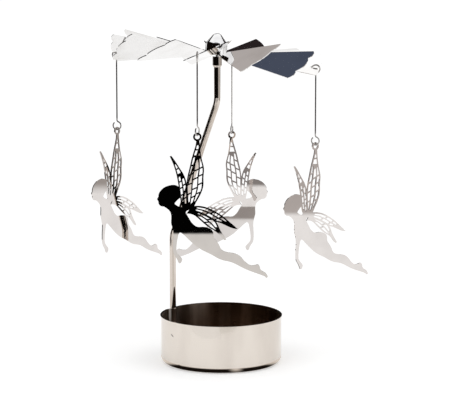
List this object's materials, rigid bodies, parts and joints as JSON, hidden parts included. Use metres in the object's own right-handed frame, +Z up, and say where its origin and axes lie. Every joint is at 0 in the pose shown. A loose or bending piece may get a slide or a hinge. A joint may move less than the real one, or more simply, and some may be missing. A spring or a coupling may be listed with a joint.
{
  "type": "rotary candle carousel",
  "caption": "Tealight carousel: a metal cup carries a bent rod, on whose needle a bladed rotor spins and swings flat winged figures on wire hangers round the flame.",
  "frame": {"origin": "centre of the cup's flat underside, where the object stands", "axes": "+Z up along the object's height; +Y away from the viewer of the picture, +X to the viewer's right"},
  "size_m": [0.1373, 0.1064, 0.1649],
  "materials": {
    "cup": "polished sheet",
    "rod": "polished rod",
    "collar": "polished",
    "needle": "ground point",
    "rotor": "polished sheet",
    "cap": "polished",
    "bearing_seat": "turned",
    "hanger_1": "bright wire",
    "fairy_1": "polished sheet",
    "hanger_2": "bright wire",
    "fairy_2": "polished sheet",
    "hanger_3": "bright wire",
    "fairy_3": "polished sheet",
    "hanger_4": "bright wire",
    "fairy_4": "polished sheet"
  },
  "bodies": {
    "base": {"cup": "cup", "rod": "rod", "collar": "collar", "needle": "needle"},
    "rotor": {"rotor": "rotor", "cap": "cap", "bearing_seat": "bearing_seat"},
    "hanger_1": {"hanger_1": "hanger_1"},
    "fairy_1": {"fairy_1": "fairy_1"},
    "hanger_2": {"hanger_2": "hanger_2"},
    "fairy_2": {"fairy_2": "fairy_2"},
    "hanger_3": {"hanger_3": "hanger_3"},
    "fairy_3": {"fairy_3": "fairy_3"},
    "hanger_4": {"hanger_4": "hanger_4"},
    "fairy_4": {"fairy_4": "fairy_4"}
  },
  "joints": [
    {"name": "rotor_spin", "type": "hinge", "parent": "base", "child": "rotor", "pos_m": [-0.0019, 0.00124, 0.1618], "axis": [0, 0, 1], "continuous": true},
    {"name": "hanger_1_swing", "type": "hinge", "parent": "rotor", "child": "hanger_1", "pos_m": [-0.01102, -0.04833, 0.15585], "axis": [-0.9972, 0.075, 0], "range_deg": [-3, 12]},
    {"name": "fairy_1_swing", "type": "hinge", "parent": "hanger_1", "child": "fairy_1", "pos_m": [-0.01102, -0.04833, 0.11875], "axis": [0, 1, 0], "range_deg": [-8, 8]},
    {"name": "hanger_2_swing", "type": "hinge", "parent": "rotor", "child": "hanger_2", "pos_m": [0.04592, -0.00827, 0.14644], "axis": [-0.075, -0.9972, 0], "range_deg": [-3, 12]},
    {"name": "fairy_2_swing", "type": "hinge", "parent": "hanger_2", "child": "fairy_2", "pos_m": [0.04592, -0.00827, 0.10934], "axis": [-0.5592, 0.829, 0], "range_deg": [-8, 8]},
    {"name": "hanger_3_swing", "type": "hinge", "parent": "rotor", "child": "hanger_3", "pos_m": [0.00542, 0.04893, 0.14525], "axis": [0.9972, -0.075, 0], "range_deg": [-3, 12]},
    {"name": "fairy_3_swing", "type": "hinge", "parent": "hanger_3", "child": "fairy_3", "pos_m": [0.00542, 0.04893, 0.10815], "axis": [-0.1908, -0.9816, 0], "range_deg": [-8, 8]},
    {"name": "hanger_4_swing", "type": "hinge", "parent": "rotor", "child": "hanger_4", "pos_m": [-0.05152, 0.00864, 0.15202], "axis": [0.075, 0.9972, 0], "range_deg": [-3, 12]},
    {"name": "fairy_4_swing", "type": "hinge", "parent": "hanger_4", "child": "fairy_4", "pos_m": [-0.05152, 0.00864, 0.11492], "axis": [-0.7716, 0.6361, 0], "range_deg": [-8, 8]}
  ]
}
